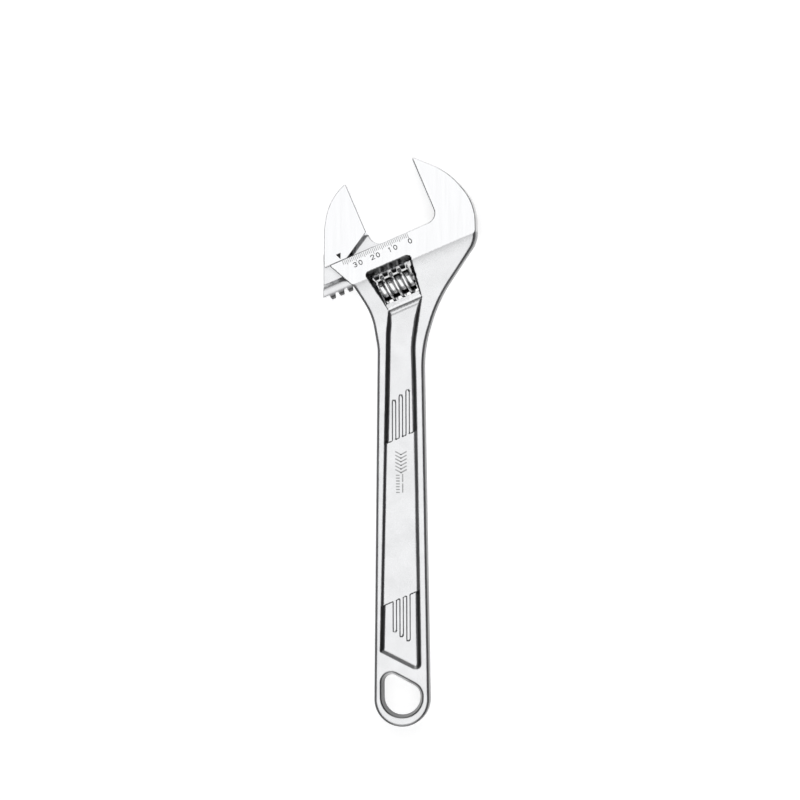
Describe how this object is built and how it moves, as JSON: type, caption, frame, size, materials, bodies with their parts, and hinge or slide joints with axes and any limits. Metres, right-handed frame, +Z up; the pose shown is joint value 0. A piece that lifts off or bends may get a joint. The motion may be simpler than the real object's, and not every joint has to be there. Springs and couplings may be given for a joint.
{
  "type": "adjustable wrench",
  "caption": "Adjustable wrench with a sliding jaw driven by a thumb worm, polished head, recessed handle and a hanging hole.",
  "frame": {"origin": "middle of the hanging hole's round part, in the plane of the head's lower face, which the wrench lies on", "axes": "+Y along the handle towards the head, +X towards the fixed jaw's side, +Z up out of the upper face; the slide direction is 23 degrees anticlockwise from +X"},
  "size_m": [0.0812, 0.3, 0.017],
  "materials": {
    "plated_body": "polished head faces, satin plating elsewhere",
    "plated_jaw": "polished plating",
    "worm_steel": "bright turned steel",
    "pin_steel": "plain turned steel",
    "spring_steel": "drawn spring wire"
  },
  "bodies": {
    "wrench_body": {"body": "plated_body", "worm_pin": "pin_steel", "worm_spring": "spring_steel"},
    "sliding_jaw": {"movable_jaw": "plated_jaw"},
    "worm": {"adjusting_worm": "worm_steel"}
  },
  "joints": [
    {"name": "jaw_slide", "type": "slide", "parent": "wrench_body", "child": "sliding_jaw", "axis": [0.9205, 0.3907, 0], "range_m": [0, 0.0374]},
    {"name": "worm_spin", "type": "hinge", "parent": "wrench_body", "child": "worm", "pos_m": [-0.00171, 0.21722, 0.0085], "axis": [-0.9205, -0.3907, 0], "range_deg": [0, 2693.3]}
  ],
  "couplings": [
    {"joint": "worm_spin", "follows": "jaw_slide", "rad_per_m": 1256.6}
  ]
}
